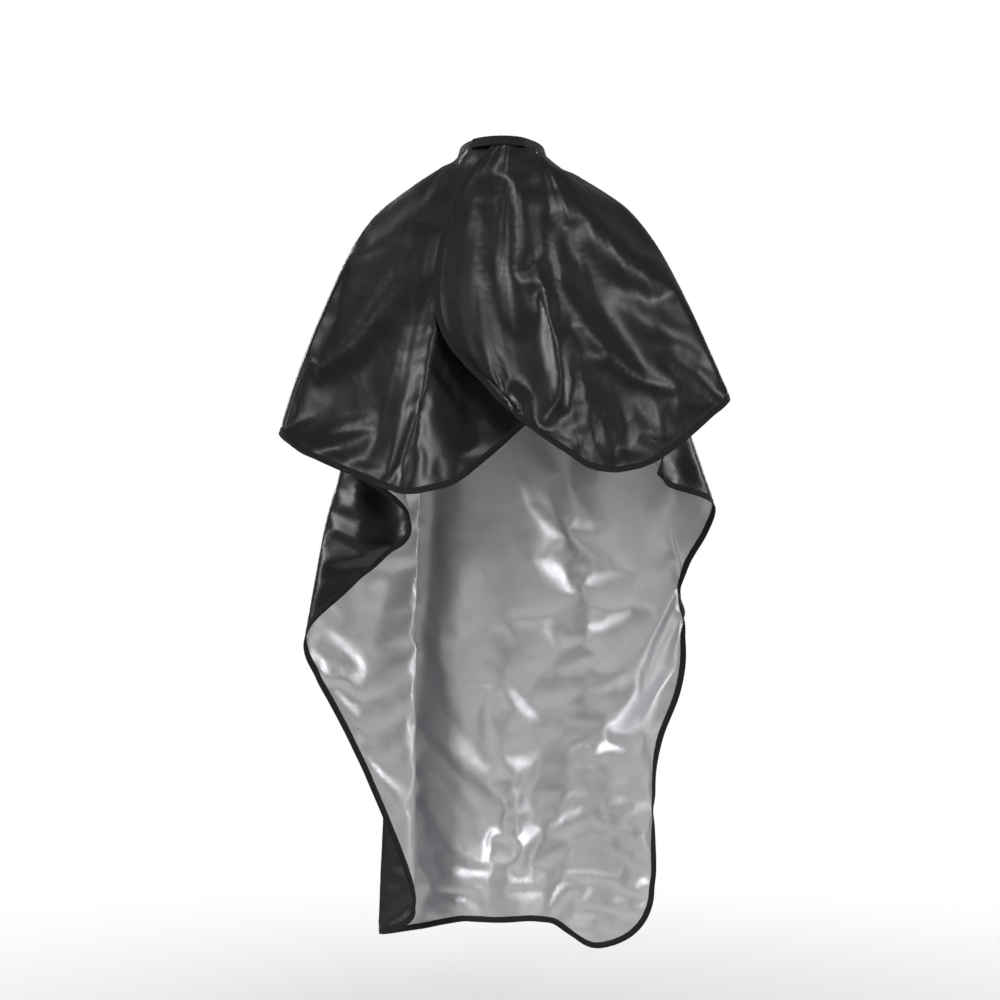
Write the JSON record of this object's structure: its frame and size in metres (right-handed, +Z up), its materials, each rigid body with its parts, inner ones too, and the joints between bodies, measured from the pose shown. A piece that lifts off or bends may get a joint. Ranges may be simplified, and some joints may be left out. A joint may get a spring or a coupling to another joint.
{
  "type": "barber cape",
  "caption": "Hairdresser's cape of coated cloth, black outside and silver inside, with bound edges, a neckband and a hook-and-loop closure at the nape.",
  "frame": {"origin": "centre of the neck opening, at the height of the neckband's middle at the wearer's sides", "axes": "+Z up along the wearer's neck, +Y the way the wearer faces, +X to the wearer's right side as seen from behind"},
  "size_m": [0.6317, 0.4385, 1.1939],
  "materials": {
    "cloth": "glossy coated taffeta, black outside and satin silver inside",
    "binding": "matt woven binding tape",
    "neckband": "folded taffeta band",
    "closure_tape": "hook-and-loop tape"
  },
  "bodies": {
    "body": {"cape_body": "cloth", "binding_body": "binding", "neckband": "neckband"},
    "right_half": {"back_half_right": "cloth", "binding_right_hem": "binding", "binding_right_slit": "binding", "neckband_right": "neckband"},
    "left_half": {"back_half_left": "cloth", "binding_left_hem": "binding", "binding_left_slit": "binding", "neckband_left": "neckband", "loop_strip": "closure_tape"},
    "tab": {"closure_tab": "neckband", "hook_strip": "closure_tape"}
  },
  "joints": [
    {"name": "right_half_opens", "type": "hinge", "parent": "body", "child": "right_half", "pos_m": [0.134, -0.225, -0.459], "axis": [-0.1733, 0.3499, 0.9206], "range_deg": [0, 90]},
    {"name": "left_half_opens", "type": "hinge", "parent": "body", "child": "left_half", "pos_m": [-0.135, -0.225, -0.49], "axis": [-0.1659, -0.3313, -0.9288], "range_deg": [0, 36]},
    {"name": "tab_peels", "type": "hinge", "parent": "right_half", "child": "tab", "pos_m": [-0.01399, -0.06583, 0.01174], "axis": [0, 0, 1], "range_deg": [0, 110]}
  ],
  "couplings": [
    {"joint": "left_half_opens", "follows": "right_half_opens", "ratio": 0.4}
  ]
}
